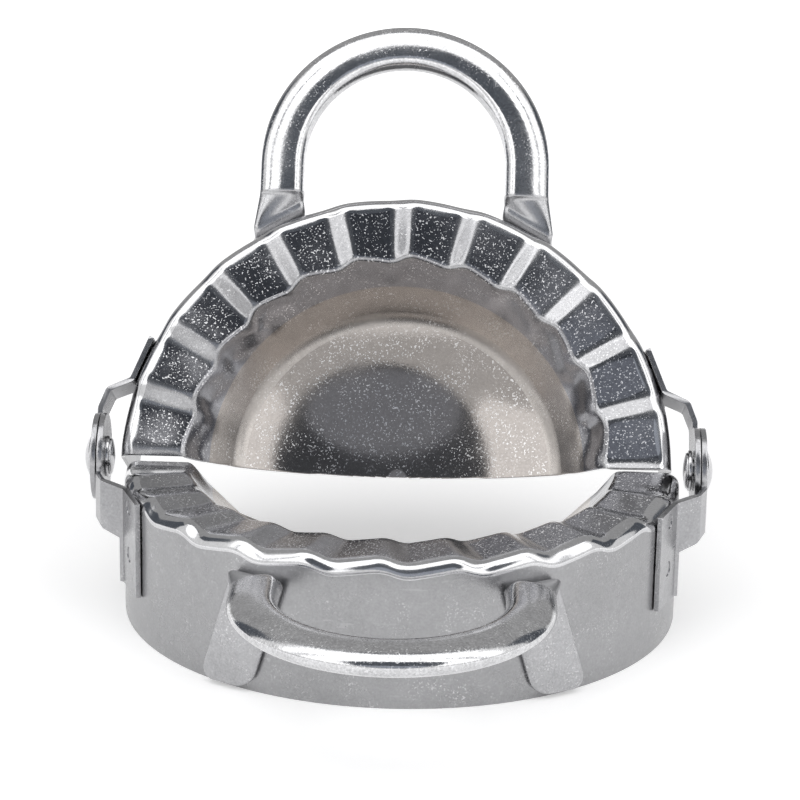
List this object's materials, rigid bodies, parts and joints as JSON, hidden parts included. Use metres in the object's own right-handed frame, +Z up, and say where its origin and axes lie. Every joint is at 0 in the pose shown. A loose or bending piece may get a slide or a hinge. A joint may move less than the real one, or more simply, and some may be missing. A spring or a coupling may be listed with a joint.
{
  "type": "hinged dumpling mould",
  "caption": "Stainless-steel clam mould: two hinged half-round dishes with pleated flanges, skirts that cut dough when opened flat, and loop handles.",
  "frame": {"origin": "on the table under the middle of the whole object as it stands, with the upper half open", "axes": "+X along the hinge axis, to the right as seen from the handle that lies low; +Y from that handle to the hinge; +Z up"},
  "size_m": [0.1076, 0.1248, 0.0928],
  "materials": {
    "shell_steel": "drawn and buffed stainless sheet, bright on the pleated flange, satin on the skirt",
    "handle_steel": "polished stainless tube",
    "bracket_steel": "satin stainless sheet",
    "rivet_steel": "bright steel"
  },
  "bodies": {
    "lower_half": {"lower_mould_shell": "shell_steel", "lower_handle": "handle_steel", "lower_left_hinge_bracket": "bracket_steel", "lower_right_hinge_bracket": "bracket_steel", "left_hinge_rivet": "rivet_steel", "right_hinge_rivet": "rivet_steel", "left_rivet_washer": "rivet_steel", "right_rivet_washer": "rivet_steel"},
    "upper_half": {"upper_mould_shell": "shell_steel", "upper_handle": "handle_steel", "upper_left_hinge_bracket": "bracket_steel", "upper_right_hinge_bracket": "bracket_steel"}
  },
  "joints": [
    {"name": "hinge", "type": "hinge", "parent": "lower_half", "child": "upper_half", "pos_m": [0.0001, 0.01755, 0.025], "axis": [-1, 0, 0], "range_deg": [-119, 61]}
  ]
}
